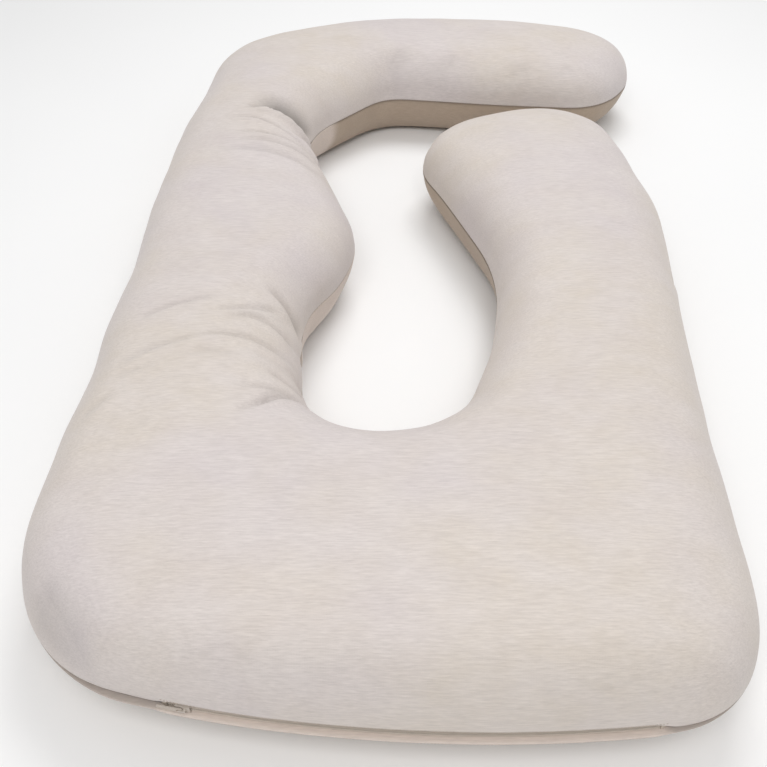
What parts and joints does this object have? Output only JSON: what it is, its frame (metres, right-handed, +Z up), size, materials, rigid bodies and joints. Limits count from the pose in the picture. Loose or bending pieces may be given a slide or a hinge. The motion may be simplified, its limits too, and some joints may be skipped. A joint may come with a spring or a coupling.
{
  "type": "nursing pillow",
  "caption": "Full-body pregnancy and nursing pillow: wide base, long left arm curling over as a head arm, short right arm, removable zipped jersey cover on a fibre-filled casing.",
  "frame": {"origin": "middle of the plan outline, on the floor that the pillow rests on", "axes": "+X to the right across the width, +Y from the wide end with the zip to the head arm, +Z up"},
  "size_m": [0.7968, 1.3545, 0.165],
  "materials": {
    "jersey": "heathered greige jersey, soft matt",
    "zip_tape": "woven beige tape",
    "zip_coil": "beige polyester coil",
    "zip_metal": "beige enamelled zinc",
    "sewing_thread": "twisted polyester thread",
    "label_tape": "blank white satin tape",
    "casing_cloth": "plain woven white cotton",
    "polyester_fibre": "loose white fibre"
  },
  "bodies": {
    "pillow_body": {"cover_top_panel": "jersey", "cover_bottom_panel": "jersey", "cover_seam_stitching": "sewing_thread", "care_label": "label_tape", "zip_upper_tape": "zip_tape", "zip_lower_tape": "zip_tape", "zip_upper_coil": "zip_coil", "zip_lower_coil": "zip_coil", "zip_top_stops": "zip_metal", "zip_bottom_stop": "zip_metal", "zip_upper_stitching": "sewing_thread", "zip_lower_stitching": "sewing_thread", "casing_top_panel": "casing_cloth", "casing_bottom_panel": "casing_cloth", "casing_seam_stitching": "sewing_thread", "casing_closing_stitching": "sewing_thread", "body_fill": "polyester_fibre"},
    "head_arm": {"head_arm_fill": "polyester_fibre"},
    "slider": {"zip_slider": "zip_metal"},
    "pull_tab": {"zip_pull_tab": "zip_metal"}
  },
  "joints": [
    {"name": "head_arm_flex", "type": "hinge", "parent": "pillow_body", "child": "head_arm", "pos_m": [-0.228, 0.472, 0.076], "axis": [0, 0, 1], "range_deg": [-4, 20], "stiffness_Nm_per_rad": 6, "deforming": ["cover_top_panel", "cover_bottom_panel", "cover_seam_stitching", "casing_top_panel", "casing_bottom_panel", "casing_seam_stitching"]},
    {"name": "zip_slide", "type": "hinge", "parent": "pillow_body", "child": "slider", "pos_m": [0.05957, 0.8219, 0.076], "axis": [0, 0, 1], "range_deg": [0, 15.3]},
    {"name": "pull_tab_hinge", "type": "hinge", "parent": "slider", "child": "pull_tab", "pos_m": [-0.21402, -0.65426, 0.076], "axis": [0, 0, 1], "range_deg": [0, 175]}
  ]
}
